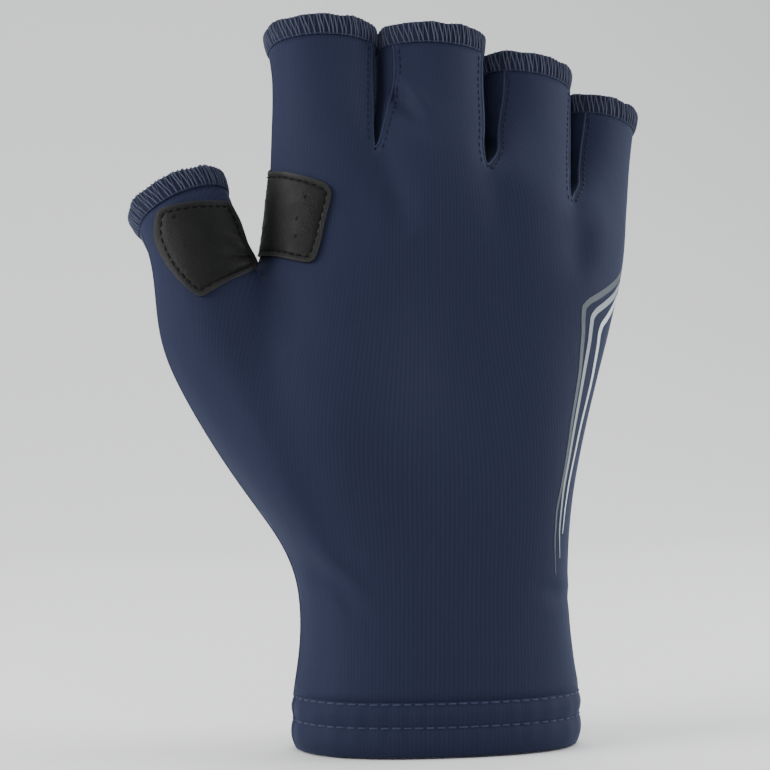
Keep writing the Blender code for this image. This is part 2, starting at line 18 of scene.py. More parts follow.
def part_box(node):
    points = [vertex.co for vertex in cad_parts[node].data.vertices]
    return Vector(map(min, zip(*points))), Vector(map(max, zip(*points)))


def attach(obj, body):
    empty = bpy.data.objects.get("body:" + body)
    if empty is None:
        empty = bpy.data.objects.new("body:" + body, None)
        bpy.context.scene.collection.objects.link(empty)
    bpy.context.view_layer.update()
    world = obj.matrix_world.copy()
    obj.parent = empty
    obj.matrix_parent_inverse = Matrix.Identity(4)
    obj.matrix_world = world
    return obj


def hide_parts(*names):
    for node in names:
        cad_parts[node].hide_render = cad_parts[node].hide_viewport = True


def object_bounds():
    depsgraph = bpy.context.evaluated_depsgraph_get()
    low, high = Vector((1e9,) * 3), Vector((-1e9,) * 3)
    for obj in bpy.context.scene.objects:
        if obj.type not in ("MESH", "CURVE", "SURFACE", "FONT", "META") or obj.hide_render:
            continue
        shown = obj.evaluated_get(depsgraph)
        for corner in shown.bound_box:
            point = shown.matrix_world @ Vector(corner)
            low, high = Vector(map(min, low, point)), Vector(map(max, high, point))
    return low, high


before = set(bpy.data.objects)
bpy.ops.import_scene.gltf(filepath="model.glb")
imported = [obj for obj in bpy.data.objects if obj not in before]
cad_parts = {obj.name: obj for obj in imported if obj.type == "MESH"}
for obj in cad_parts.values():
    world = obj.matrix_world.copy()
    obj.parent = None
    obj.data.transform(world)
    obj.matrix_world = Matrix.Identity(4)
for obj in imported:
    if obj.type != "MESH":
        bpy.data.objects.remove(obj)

CAD_BOX = [list(corner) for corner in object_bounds()]
MM = 0.001
print("nodes:", ", ".join(sorted(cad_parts)))
print("box of the model:", CAD_BOX)

# %% [markdown]
# ## Small tools of the bench
# An operator acts on everything that is selected, so each step begins by choosing one piece.
# The helpers below do that. A search tree finds places on the cloth, by nearness or along a
# ray, and that is how everything that is sewn on gets its place.

# %% Choose, add, copy and apply
MERGE = 0.01 * MM
SHARP_ANGLE, PAIR_SHAPE = math.radians(50), math.radians(70)


def only(piece):
    """Selects one piece alone and makes it the active one."""
    bpy.ops.object.select_all(action="DESELECT")
    piece.select_set(True)
    bpy.context.view_layer.objects.active = piece


def edit(piece, mode="FACE", select=None):
    """Opens a piece in edit mode, and may select all of it or nothing."""
    only(piece)
    bpy.ops.object.mode_set(mode="EDIT")
    bpy.ops.mesh.select_mode(type=mode)
    if select:
        bpy.ops.mesh.select_all(action=select)


def done():
    bpy.ops.object.mode_set(mode="OBJECT")


def primitive(name, add, **settings):
    """A new primitive, with nothing else selected."""
    bpy.ops.object.select_all(action="DESELECT")
    add(**settings)
    piece = bpy.context.active_object
    piece.name = name
    return piece


def placed(name, data):
    """A new object in the scene, from its mesh, curve, lamp or camera."""
    thing = bpy.data.objects.new(name, data)
    bpy.context.scene.collection.objects.link(thing)
    return thing


def select_edges(piece, wanted):
    """Selects the edges whose two ends pass a test, and stays in edit mode."""
    edit(piece, select="DESELECT")
    done()
    for edge in piece.data.edges:
        edge.select = wanted(*(piece.data.vertices[k].co for k in edge.vertices))
    edit(piece, "EDGE")


def apply_modifier(piece, kind, **settings):
    """Adds a modifier with its settings and applies it at once."""
    only(piece)
    bpy.ops.object.modifier_add(type=kind)
    modifier = piece.modifiers[-1]
    for key, value in settings.items():
        setattr(modifier, key, value)
    bpy.ops.object.modifier_apply(modifier=modifier.name)


def subdivide(piece, levels):
    apply_modifier(piece, "SUBSURF", levels=levels, render_levels=levels)


def copy_of(node, name):
    """A working copy of a node, with its loose triangles merged and paired into quads."""
    piece = placed(name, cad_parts[node].data.copy())
    piece.data.materials.clear()
    edit(piece, select="SELECT")
    bpy.ops.mesh.remove_doubles(threshold=MERGE)
    bpy.ops.mesh.tris_convert_to_quads(face_threshold=SHARP_ANGLE, shape_threshold=PAIR_SHAPE)
    done()
    return piece


def points_of(piece):
    return np.array([vertex.co for vertex in piece.data.vertices], float)


def put_points(piece, points):
    piece.data.vertices.foreach_set("co", np.asarray(points, float).ravel())
    piece.data.update()


# %% Find places on a surface
def tree_of(*pieces):
    """One search tree over the faces of some pieces."""
    corners, faces = [], []
    for piece in pieces:
        start = len(corners)
        corners += [vertex.co.copy() for vertex in piece.data.vertices]
        faces += [[start + k for k in polygon.vertices] for polygon in piece.data.polygons]
    return BVHTree.FromPolygons(corners, faces)


def nearest(tree, point):
    """The nearest place on a surface: point, way out and distance."""
    found, normal, _, distance = tree.find_nearest(point)
    return found, normal, distance


def hit(tree, start, way):
    """The point where a ray meets a surface, and the way out there."""
    return tree.ray_cast(start, way)[:2]


def face_out(piece, tree):
    """Turns a thin piece's faces round if they look into the surface that it lies on."""
    face = piece.data.polygons[len(piece.data.polygons) // 2]
    if face.normal.dot(nearest(tree, face.center)[1]) < 0:
        edit(piece, select="SELECT")
        bpy.ops.mesh.flip_normals()
        done()


def lengths_along(points):
    """How far along a path each of its points lies."""
    return np.cumsum([0.0] + [(b - a).length for a, b in zip(points, points[1:])])

# %% [markdown]
# ## The knit panels
# The palm, the back and the strips between the fingers are one thin stretch cloth. The model
# holds them as walls of large flat cells, and subdivision turns these into rounded cloth. A
# crease keeps the walls' rims in their place, so that neighbouring panels still meet.

# %% Smooth the panels
RIM_ANGLE = math.radians(62)


def crease_rims(piece):
    """Creases every edge that turns sharply, so that smoothing keeps it."""
    edit(piece, "EDGE", "DESELECT")
    bpy.ops.mesh.edges_select_sharp(sharpness=RIM_ANGLE)
    bpy.ops.transform.edge_crease(value=1.0)
    done()


PANELS = {
    "palm_knit": ("palm_panel", "knit"),
    "back_knit": ("back_panel", "knit_back"),
    "index_middle_web": ("index_middle_gusset", "gusset_knit"),
    "middle_ring_web": ("middle_ring_gusset", "gusset_knit"),
    "ring_little_web": ("ring_little_gusset", "gusset_knit"),
}
WEBS = [name for name in PANELS if name.endswith("_web")]
cloth = {}
for name, (node, _) in PANELS.items():
    cloth[name] = copy_of(node, name)
    crease_rims(cloth[name])
    subdivide(cloth[name], 2)
    print(name, len(cloth[name].data.polygons), "faces")

# %% [markdown]
# ## Folds and hollows
# Worn cloth pulls between its seams. Each fold is a soft ridge or valley along a short line
# seen from the palm: where it starts and ends, across and up, then its half width and its
# height, all in millimetres. The cloth is folded first, and the seams, stitches, patches and
# stripes are laid on it later, so that they follow its folds.

# %% Move the cloth into folds
PALM_FOLDS = (
    (-14.5, 164.5, -4.5, 150, 1.9, -2.1),
    (-11, 166, -2, 153.5, 1.7, 1.2),
    (-16, 146, -9, 122, 4, -1.6),
    (-20, 166, -17.5, 150, 3, -0.3),
    (14, 142, 14.5, 120, 4.5, -1.3),
    (36, 131, 34, 113, 4, -0.8),
    (-46, 116, -30, 96, 6, -0.8),
    (-38, 49.5, -21, 33, 2.2, -1.5),
    (-36, 52.5, -19.5, 37, 2, 1),
    (22, 38.5, 35.5, 34.5, 1.8, -0.9),
    (24, 41.5, 35.5, 38, 1.5, 0.6),
    (-24, 24, 22, 22.5, 2.2, 0.25),
    (-44, 122, -47, 132, 2, 0.35),
)
BACK_FOLDS = (
    (-30, 60, -14, 46, 3, -0.6),
    (20, 44, 34, 38, 2.2, -0.5),
    (-40, 112, -26, 98, 5, -0.8),
    (-9, 128, -7, 110, 4, -0.8),
    (17, 124, 18, 106, 4, -0.8),
    (37, 116, 35, 100, 4, -0.7),
)
TAPER_ENDS = (0.06, 0.94)
# A strip takes the palm's folds before the first depth and the back's behind the second.
STRIP_PALM, STRIP_BACK, STRIP_BLEND = 2.0, 6.0, 6.0


def fold_height(points, folds):
    """How far the cloth stands out at each point, in metres."""
    total = np.zeros(len(points))
    for x, z, x_end, z_end, half_width, height in folds:
        start = np.array((x, z)) * MM
        way = np.array((x_end, z_end)) * MM - start
        length = np.linalg.norm(way)
        along = ((points[:, (0, 2)] - start) @ way) / length**2
        near = start + np.clip(along, 0.0, 1.0)[:, None] * way
        away = np.linalg.norm(points[:, (0, 2)] - near, axis=1) / (half_width * MM)
        taper = np.sin(np.pi * np.clip(along, *TAPER_ENDS))
        total += height * MM * np.exp(-(away**2)) * taper
    return total


def folded(points, side):
    """Points moved with the folds of the palm (-1), of the back (1) or, for a strip, of both (0)."""
    points = np.array(points, float)
    depth = points[:, 1] / MM
    palm_share, back_share = float(side < 0), float(side > 0)
    if side == 0:
        palm_share = np.clip((STRIP_PALM - depth) / STRIP_BLEND, 0.0, 1.0)
        back_share = np.clip((depth - STRIP_BACK) / STRIP_BLEND, 0.0, 1.0)
    rise = back_share * fold_height(points, BACK_FOLDS)
    points[:, 1] += rise - palm_share * fold_height(points, PALM_FOLDS)
    return points


# %% Close and open the slots between the fingers
# The low end and the high end of each slot's middle line, then how much it closes, in mm.
SLOTS = (
    (-15.5, 147, -11.3, 178, 1.25),
    (13.9, 152, 15.2, 172, 0.80),
    (-15.9, 142, -15.5, 148, -0.25),
    (12.9, 140, 13.4, 149, -0.90),
    (38.6, 146, 39.8, 163, 0.70),
    (36.4, 131, 37.2, 140, -0.80),
)
SLOT_REACH = 5.0
CLOSING_SOFT, OPENING_SOFT = 1.3, 0.6


def slotted(points):
    """Points moved across, toward the middle of a slot where it closes."""
    points = np.array(points, float)
    for low, low_up, high, high_up, closing in SLOTS:
        share = (points[:, 2] / MM - low_up) / (high_up - low_up)
        away = points[:, 0] / MM - low - share * (high - low)
        window = np.exp(-((2.0 * share - 1.0) ** 4))
        soft = CLOSING_SOFT if closing > 0.0 else OPENING_SOFT
        reach = np.exp(-((away / SLOT_REACH) ** 2))
        points[:, 0] -= closing * MM * np.tanh(away / soft) * reach * window
    return points


# %% Bring the panels' low ends down to the upper row of the hem's stitches
UPPER_ROW, LOWER_ROW = 12.8, 7.1
GROOVE, GROOVE_REACH = 0.30, 0.75
STRETCHED = 8.0
JOINT = min(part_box("palm_panel")[0][2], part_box("back_panel")[0][2]) / MM


def at_row(points):
    """Points of a panel moved down to the row, and drawn in where its thread pulls."""
    points = np.array(points, float)
    heights = points[:, 2] / MM
    points[:, 2] -= (JOINT - UPPER_ROW) * MM * np.clip(1.0 - (heights - JOINT) / STRETCHED, 0.0, 1.0)
    pull = GROOVE * MM * np.exp(-(((points[:, 2] / MM - UPPER_ROW) / GROOVE_REACH) ** 2))
    spread = np.linalg.norm(points[:, :2], axis=1)
    points[:, :2] *= (1.0 - pull / np.maximum(spread, MM))[:, None]
    return points


SIDE = {"palm_knit": -1, "back_knit": 1}
for name, piece in cloth.items():
    before = points_of(piece)
    after = folded(slotted(before), SIDE.get(name, 0))
    if name in SIDE:
        after = at_row(after)
    put_points(piece, after)
    print(name, "moved up to", round(float(np.abs(after - before).max()) / MM, 2), "mm")

# %% [markdown]
# ## Finding the borders
# Seams run along the borders of the panels. A panel's outer side is found from one face, by
# selecting all that is linked to it without a sharp turn. Its border loop then gives the line
# of each seam, with the way out of the cloth at each point.

# %% Trace a border
FLAT_ANGLE = math.radians(55)


def border_of(piece, side):
    """The border of a panel's outer face: an ordered loop of (point, way out)."""
    edit(piece, select="DESELECT")
    done()
    max(piece.data.polygons, key=lambda polygon: side * polygon.center.y).select = True
    edit(piece)
    bpy.ops.mesh.faces_select_linked_flat(sharpness=FLAT_ANGLE)
    done()
    uses, ways = {}, {}
    for polygon in piece.data.polygons:
        if not polygon.select:
            continue
        corners = list(polygon.vertices)
        for a, b in zip(corners, corners[1:] + corners[:1]):
            uses.setdefault(frozenset((a, b)), []).append((a, b))
        for corner in corners:
            ways.setdefault(corner, Vector()).xyz += polygon.normal
    after = {pair[0][0]: pair[0][1] for pair in uses.values() if len(pair) == 1}
    first = next(iter(after))
    loop, at = [first], after[first]
    while at != first and len(loop) <= len(after):
        loop.append(at)
        at = after[at]
    vertices = piece.data.vertices
    return [(vertices[k].co.copy(), ways[k].normalized()) for k in loop]


borders = {name: border_of(cloth[name], side) for name, side in SIDE.items()}
for name, loop in borders.items():
    print(name, "border of", len(loop), "points")

# %% Split the borders into seams
BESIDE = 0.9 * MM
SHORTEST_RUN = 5


def runs_beside(loop, tree):
    """Stretches of a border that lie beside a neighbour, along the middle of the gap."""
    marks = []
    for point, way in loop:
        found, _, distance = nearest(tree, point)
        marks.append((point.lerp(found, 0.5), way) if distance < BESIDE else None)
    count = len(marks)
    starts = [i for i in range(count) if marks[i] and not marks[i - 1]]
    runs = []
    for start in starts:
        run, i = [], start
        while marks[i % count] and len(run) < count:
            run.append(marks[i % count])
            i += 1
        if len(run) >= SHORTEST_RUN:
            runs.append(run)
    return runs


trees = {name: tree_of(piece) for name, piece in cloth.items()}
side_seams = runs_beside(borders["palm_knit"], trees["back_knit"])
web_seams = []
for panel in SIDE:
    for web in WEBS:
        web_seams += [(panel, run) for run in runs_beside(borders[panel], trees[web])]
print(len(side_seams), "side seams,", len(web_seams), "web seams")

# %% [markdown]
# ## Threads
# A thread is drawn as a path with a round section and then turned into a mesh. A stitch is
# modelled once: a small cylinder whose ends are pinched and sunk, so that it looks like
# thread that dives into the cloth. Copies of it are laid along each row.

# %% Draw a thread along points
def thread_piece(name, paths, radius, sides=6, closed=False):
    """One mesh of round threads along lists of points."""
    curve = bpy.data.curves.new(name, "CURVE")
    curve.dimensions = "3D"
    curve.bevel_depth = radius
    curve.bevel_resolution = (sides - 4) // 2
    curve.use_fill_caps = True
    for path in paths:
        spline = curve.splines.new("POLY")
        spline.points.add(len(path) - 1)
        for point, at in zip(spline.points, path):
            point.co = (*at, 1.0)
        spline.use_cyclic_u = closed
    only(placed(name, curve))
    bpy.ops.object.convert(target="MESH")
    return bpy.context.view_layer.objects.active


def spaced(path, step, closed=False):
    """Points, ways out and ways along at an even spacing along (point, way) pairs."""
    points = [Vector(point) for point, _ in path]
    ways = [Vector(way) for _, way in path]
    if closed:
        points.append(points[0])
        ways.append(ways[0])
    lengths = lengths_along(points)
    count = max(int(round(lengths[-1] / step)), 2)
    places = []
    for k in range(count if closed else count + 1):
        at = lengths[-1] * k / count
        i = min(int(np.searchsorted(lengths, at, side="right")) - 1, len(points) - 2)
        t = (at - lengths[i]) / max(lengths[i + 1] - lengths[i], 1e-9)
        along = (points[i + 1] - points[i]).normalized()
        places.append((points[i].lerp(points[i + 1], t), ways[i].lerp(ways[i + 1], t).normalized(), along))
    return places


def smoothed(path, rounds=2):
    """A path of (point, way) pairs with its kinks eased and its ends kept."""
    points = [Vector(point) for point, _ in path]
    for _ in range(rounds):
        inner = [0.25 * a + 0.5 * b + 0.25 * c for a, b, c in zip(points, points[1:], points[2:])]
        points = [points[0]] + inner + [points[-1]]
    return [(point, way) for point, (_, way) in zip(points, path)]


# %% Model one stitch
STITCH_CUTS = 4
END_PINCH, END_SINK = 0.35, 0.9


def model_stitch(name, length, radius):
    """A stitch along X that stands out along Z, with its two ends sunk."""
    stitch = primitive(
        name, bpy.ops.mesh.primitive_cylinder_add, vertices=6, radius=radius, depth=length,
        rotation=(0.0, math.radians(90), 0.0), end_fill_type="NGON",
    )
    bpy.ops.object.transform_apply()
    select_edges(stitch, lambda a, b: abs(a.x - b.x) > 0.5 * length)
    bpy.ops.mesh.subdivide(number_cuts=STITCH_CUTS)
    done()
    for vertex in stitch.data.vertices:
        end = (vertex.co.x / (0.5 * length)) ** 4
        vertex.co.y *= 1.0 - END_PINCH * end
        vertex.co.z *= 1.0 - END_PINCH * end
        vertex.co.z -= END_SINK * radius * end
    return stitch


def lay_stitches(name, stitch, places):
    """One mesh with a copy of a stitch at each (point, way out, way along)."""
    shape = points_of(stitch)
    faces = [list(polygon.vertices) for polygon in stitch.data.polygons]
    corners, all_faces = [], []
    for point, out, along in places:
        side = out.cross(along).normalized()
        along = side.cross(out).normalized()
        start = len(corners) * len(shape)
        corners.append(shape @ np.array((along, side, out)) + np.array(point))
        all_faces += [[start + k for k in face] for face in faces]
    mesh = bpy.data.meshes.new(name)
    mesh.from_pydata(np.vstack(corners).tolist(), [], all_faces)
    return placed(name, mesh)


SHORT_STITCH = model_stitch("short_stitch", length=1.5 * MM, radius=0.20 * MM)
COVER_STITCH = model_stitch("cover_stitch", length=2.1 * MM, radius=0.24 * MM)
print("a stitch has", len(SHORT_STITCH.data.polygons), "faces")

# %% [markdown]
# ## Seams between the panels
# Where two panels meet, the cloth turns in and a narrow roll of it fills the gap. Along the
# finger strips the roll stands a little proud and catches the light, and a row of stitches
# shows beside it on the palm.

# %% Fill the side seams
SEAM_STEP, SEAM_DEPTH, SEAM_RADIUS = 0.8 * MM, 0.34 * MM, 0.48 * MM
dressed = []


def dress(piece, slot, *nodes):
    """Keeps a piece for its finish, with the nodes that it stands for. Its slot is kept too, but it is not
    used.
    """
    dressed.append((piece, slot, nodes))


def lifted(run, height):
    return [point + way * height for point, way, _ in run]


paths = [lifted(spaced(smoothed(run), SEAM_STEP), -SEAM_DEPTH) for run in side_seams]
dress(thread_piece("side_seam_roll", paths, SEAM_RADIUS, sides=8), "knit")
print("side seams:", [round(lengths_along(path)[-1] / MM) for path in paths], "mm")

# %% Fill the web seams and stitch beside them
WEB_STEP, WEB_DEPTH, WEB_RADIUS = 0.6 * MM, 0.14 * MM, 0.38 * MM
ROW_STEP, ROW_ASIDE = 1.9 * MM, 1.3 * MM
THREAD_RISE = 0.02 * MM
paths, places = [], []
for panel, run in web_seams:
    paths.append(lifted(spaced(smoothed(run), WEB_STEP), -WEB_DEPTH))
    if panel == "palm_knit":
        for point, out, along in spaced(smoothed(run), ROW_STEP)[1:-1]:
            aside = along.cross(out).normalized() * ROW_ASIDE
            ground = min((point + aside, point - aside), key=lambda p: nearest(trees[panel], p)[2])
            found, normal, _ = nearest(trees[panel], ground)
            places.append((found + normal * THREAD_RISE, normal, along))
dress(thread_piece("web_seam_roll", paths, WEB_RADIUS, sides=8), "thread")
dress(lay_stitches("web_stitches", SHORT_STITCH, places), "thread")
print(len(places), "stitches beside the web seams")

# %% [markdown]
# ## The overlocked finger openings
# An overlock machine wraps thread over the cut edge: slanted strands that run over the top,
# a returning thread between them and one line of needle thread below. The band under them is
# the rolled cloth. Every strand is laid on the band by rays square to the finger's own axis,
# and the band and its threads are then waved together, as worn edges are.

# %% Frame of an opening
FULL_TURN = 2.0 * math.pi
RAY_START = 40.0 * MM


def ring_frame(piece):
    """Centre, two ways across and the way out of an opening, from the spread of its points."""
    points = points_of(piece)
    centre = points.mean(axis=0)
    _, _, ways = np.linalg.svd(points - centre, full_matrices=False)
    axis = Vector(ways[2])
    if axis.z < 0:
        axis = -axis
    across = Vector(ways[0])
    return Vector(centre), across, axis.cross(across), axis


def on_ring(tree, ring, angle, height, inside=False):
    """Point and way out on a band at an angle and height about its middle, outside or inside."""
    centre, across, over, axis = ring
    way = across * math.cos(angle) + over * math.sin(angle)
    base = centre + axis * height
    return hit(tree, base, way) if inside else hit(tree, base + way * RAY_START, -way)


def even_angles(tree, ring, step, height=0.0):
    """Angles round a band at an even spacing along it, from one ray a degree."""
    angles = np.linspace(0.0, FULL_TURN, 361)
    lengths = lengths_along([on_ring(tree, ring, angle, height)[0] for angle in angles])
    count = int(round(lengths[-1] / step))
    return np.interp(lengths[-1] * np.arange(count) / count, lengths, angles), count


# %% The thread's path over the edge
DIGITS = ("thumb", "index", "middle", "ring", "little")
OVERLOCK_PITCH = 1.2 * MM
STRAND = 0.17 * MM
RETURN_RADIUS = 0.85 * STRAND
# Each step of a strand: its share of the band's height and its slant, in pitches.
FRONT_STRAND = ((0.04, 0.00), (0.20, 0.10), (0.42, 0.34), (0.64, 0.60), (0.82, 0.80), (0.93, 0.92))
INNER_STRAND = ((0.88, 1.10), (0.55, 1.25), (0.20, 1.45))
RETURN_STRAND = ((0.05, 0.04), (0.30, 0.02), (0.60, -0.04), (0.86, -0.12), (0.95, -0.10))
# Over the top, each step is a share of the way across and a share of the rise.
CROWN, CROWN_RISE, CROWN_FOOT = ((0.20, 0.6), (0.50, 1.0)), 0.06, 0.90
# Size, pace and start of the waves that keep pitch, lean and rise from being all alike.
PITCH_WAVES = ((0.16, 2.4, 0.0), (0.10, 0.9, 1.0))
LEAN_WAVE, RISE_WAVE = (0.25, 1.7, 0.0), (0.03, 3.1, 0.0)
# How far the thread's middle stands out from the band, in radii.
FRONT_STAND, INNER_STAND, RETURN_STAND = 0.9, 0.8, 0.5
NEEDLE_SHARE, NEEDLE_RADIUS = 0.07, 0.20 * MM
NEEDLE_RISE, NEEDLE_BOW = 0.10, 0.05


def uneven(k, *waves):
    """How far the strand of this number strays, as a sum of waves."""
    return sum(size * math.sin(pace * k + start) for size, pace, start in waves)


# %% Roll the band's cloth
TUCK, TUCK_SHARE = 0.60 * MM, 0.3
BAND_WAVE = 0.16 * MM
# Waves round an opening, their size, and how far each is turned with the finger.
EDGE_WAVES = ((7.0, 1.0, 1.0), (11.0, 0.7, 2.0))


def rolled_band(digit):
    """The rolled cloth of one opening, tucked a little over the cloth below it."""
    band = copy_of(f"{digit}_edge", f"{digit}_rim")
    subdivide(band, 2)
    ring = ring_frame(band)
    axis = np.array(ring[3])
    points = points_of(band)
    heights = (points - np.array(ring[0])) @ axis
    low, high = float(heights.min()), float(heights.max())
    share = (heights - low) / (high - low)
    points -= np.outer(TUCK * np.clip(1.0 - share / TUCK_SHARE, 0.0, 1.0), axis)
    put_points(band, points)
    return band, ring, low - TUCK, high


def waved(points, ring, low, high, turn):
    """Points of a band or thread, moved with the slot and the waves of the edge."""
    points = np.array([tuple(point) for point in points])
    centre, across, over, axis = (np.array(part) for part in ring)
    spread = points - centre
    share = np.clip((spread @ axis - low) / (high - low), 0.0, 1.0)
    angle = np.arctan2(spread @ over, spread @ across)
    wave = sum(size * np.sin(count * angle + start * turn) for count, size, start in EDGE_WAVES)
    return slotted(points + np.outer(BAND_WAVE * wave * share, axis))


# %% Wrap thread over each edge
def wrap_edge(digit):
    """The band, the slanted strands and the needle line of one opening."""
    band, ring, low, high = rolled_band(digit)
    tree = tree_of(band)
    axis = ring[3]
    reach = high - low
    angles, count = even_angles(tree, ring, OVERLOCK_PITCH)
    turn = FULL_TURN / count

    def laid(angle, steps, stand, lean=1.0, inside=False):
        """The steps of a strand on the band, each standing out by a share of the thread."""
        points = []
        for share, slant in steps:
            point, normal = on_ring(tree, ring, angle - lean * slant * turn, low + share * reach, inside)
            points.append(point + normal * stand * STRAND)
        return points

    strands, returns, line = [], [], []
    for k, angle in enumerate(angles):
        angle += uneven(k, *PITCH_WAVES) * turn
        strand = laid(angle, FRONT_STRAND, FRONT_STAND, 1.0 + uneven(k, LEAN_WAVE))
        outer = strand[-1]
        inner, _ = on_ring(tree, ring, angle - turn, low + CROWN_FOOT * reach, True)
        rise = CROWN_RISE + uneven(k, RISE_WAVE)
        strand += [outer.lerp(inner, share) + axis * (height * rise * reach) for share, height in CROWN]
        strands.append(strand + laid(angle, INNER_STRAND, INNER_STAND, inside=True))
        returns.append(laid(angle, RETURN_STRAND, RETURN_STAND))
    for k, angle in enumerate(np.linspace(0.0, FULL_TURN, 4 * count, endpoint=False)):
        point, normal = on_ring(tree, ring, angle, low + NEEDLE_SHARE * reach)
        line.append(point + normal * (NEEDLE_RISE + NEEDLE_BOW * math.cos(0.5 * math.pi * k)) * MM)
    edge = (ring, low, high, float(len(digit)))
    put_points(band, waved(points_of(band), *edge))
    dress(band, "thread", f"{digit}_edge")
    threads = (("overlock", strands, STRAND), ("overlock_return", returns, RETURN_RADIUS))
    for name, paths, radius in (*threads, ("needle_line", [line], NEEDLE_RADIUS)):
        drawn = [waved(path, *edge) for path in paths]
        dress(thread_piece(f"{digit}_{name}", drawn, radius, closed=name == "needle_line"), "thread")
    print(digit, "opening:", count, "strands")


for digit in DIGITS:
    wrap_edge(digit)

# %% [markdown]
# ## The cuff
# The cloth is turned up inside the wrist and held by two rows of cover stitches. The hem is
# a smooth copy of the model's band. Each row lies in the groove that its thread pulls, and
# the joint of hem and panels is hidden in the upper groove.

# %% Smooth the hem and pull in its two grooves
# The upper row lies a little below the hem's top, where a ray still meets the hem.
HEM_ROWS = {"hem_stitches_upper": (UPPER_ROW - 0.15) * MM, "hem_stitches_lower": LOWER_ROW * MM}
# Height, reach and rise of each groove and of the puffed cloth beside it, in millimetres.
HEM_PUFFS = (
    (UPPER_ROW, GROOVE_REACH, -GROOVE),
    (LOWER_ROW, GROOVE_REACH, -0.34),
    (9.9, 1.5, 0.16),
    (3.6, 2.2, 0.22),
)
# The rows pull the cloth between them into small puckers. The inner wall stays as it is.
PUCKER, PUCKERS = 0.07 * MM, 37.0
PUCKER_HEIGHT, PUCKER_REACH = 8.0, 5.5
OUTER_SHARE = 0.3
hem = copy_of("cuff_hem", "hem_knit")
crease_rims(hem)
subdivide(hem, 3)
hem_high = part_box("cuff_hem")[1][2]
hem_ways = np.array([vertex.normal for vertex in hem.data.vertices])
hem_points = points_of(hem)
hem_points[:, 2] -= (hem_high - UPPER_ROW * MM) * np.clip(hem_points[:, 2] / hem_high, 0.0, 1.0) ** 2
hem_ways[:, 2] = 0.0
hem_ways /= np.maximum(np.linalg.norm(hem_ways, axis=1), 1e-6)[:, None]
around = hem_points[:, :2] / np.linalg.norm(hem_points[:, :2], axis=1)[:, None]
outward = (hem_ways[:, :2] * around).sum(axis=1) > OUTER_SHARE
heights = hem_points[:, 2] / MM
puff = sum(rise * np.exp(-(((heights - at) / reach) ** 2)) for at, reach, rise in HEM_PUFFS) * MM
wave = np.sin(PUCKERS * np.arctan2(hem_points[:, 1], hem_points[:, 0]))
puff += PUCKER * wave * np.exp(-(((heights - PUCKER_HEIGHT) / PUCKER_REACH) ** 4))
hem_points += hem_ways * (puff * outward)[:, None]
put_points(hem, hem_points)
print("the hem meets the panels at", round(hem_points[:, 2].max() / MM, 2), "mm")

# %% Stitch the hem
HEM_STITCH_STEP, HEM_STITCH_RISE = 2.7 * MM, 0.10 * MM
LOOK_AHEAD = 0.01
hem_tree = tree_of(hem)
middle = points_of(hem).mean(axis=0)
hem_ring = (Vector((middle[0], middle[1], 0.0)), Vector((1, 0, 0)), Vector((0, 1, 0)), Vector((0, 0, 1)))
for name, height in HEM_ROWS.items():
    angles, count = even_angles(hem_tree, hem_ring, HEM_STITCH_STEP, height)
    places = []
    for angle in angles:
        point, normal = on_ring(hem_tree, hem_ring, angle, height)
        ahead, _ = on_ring(hem_tree, hem_ring, angle + LOOK_AHEAD, height)
        places.append((point + normal * HEM_STITCH_RISE, normal, (ahead - point).normalized()))
    dress(lay_stitches(name, COVER_STITCH, places), "thread")
    print(name, count, "stitches at", round(height / MM, 1), "mm")
dress(hem, "knit", "cuff_hem")

# %% Carry the seams on over the hem
ABOVE_HEM, HEM_SEAM_FOOT, HEM_SEAM_DEPTH = 3.0, 0.8, 0.30 * MM
JOINT_STEP, JOINT_RISE = 1.0 * MM, Vector((0.0, 0.0, 0.25)) * MM
paths = []
for run in side_seams:
    for point, _ in (run[0], run[-1]):
        if point.z < (UPPER_ROW + ABOVE_HEM) * MM:
            path = []
            for height in np.linspace(UPPER_ROW, HEM_SEAM_FOOT, 16):
                found, normal, _ = nearest(hem_tree, Vector((point.x, point.y, height * MM)))
                path.append(found - normal * HEM_SEAM_DEPTH)
            paths.append(path)
dress(thread_piece("hem_seam_roll", paths, SEAM_RADIUS, sides=8), "knit")
joint_height = HEM_ROWS["hem_stitches_upper"]
angles, _ = even_angles(hem_tree, hem_ring, JOINT_STEP, joint_height)
joint = [on_ring(hem_tree, hem_ring, angle, joint_height) for angle in angles]
joint = [point - normal * SEAM_DEPTH + JOINT_RISE for point, normal in joint]
dress(thread_piece("hem_joint_roll", [joint], SEAM_RADIUS, sides=8, closed=True), "knit")
print(len(paths), "side seams run on down the hem")

# %% [markdown]
# ## The grip patches
# Two patches of thin synthetic leather are stitched on the thumb and below the index finger.
# Each starts as a circle whose points are set on the patch's outline. It is extruded inward
# ring by ring, closed in the middle, laid on the cloth, and given its thickness and a soft
# cut edge.

# %% Outlines of the patches
# The thumb's outline is across and up in millimetres. The other wraps round the hand's side,
# so its outline is an angle from the palm toward the thumb's side, in degrees, and up.
THUMB_OUTLINE = (
    (-68.9, 128.1), (-68.3, 129.6), (-66.8, 130.4), (-62.5, 131.4), (-57.6, 131.8), (-53.1, 132),
    (-51.2, 131.6), (-50.4, 130), (-49, 127.4), (-48.2, 123.9), (-47.2, 120.4), (-45.3, 118.4),
    (-45.4, 116.4), (-47.2, 115.1), (-52.4, 113), (-57.4, 110.1), (-59.1, 109), (-60.2, 109.1),
    (-63, 111.5), (-66.2, 115.9), (-68.2, 120.2), (-69.2, 123.8),
)
INDEX_OUTLINE = (
    (135, 140.6), (110, 140.2), (79, 139.7), (62, 139), (43, 138.1), (25, 137),
    (13, 135.9), (9, 134.2), (11, 132), (17, 127.6), (22.5, 121.6), (25.5, 118.9),
    (29, 117.4), (36, 117.2), (46, 117.7), (70, 119), (100, 119.3), (135, 119.6),
)
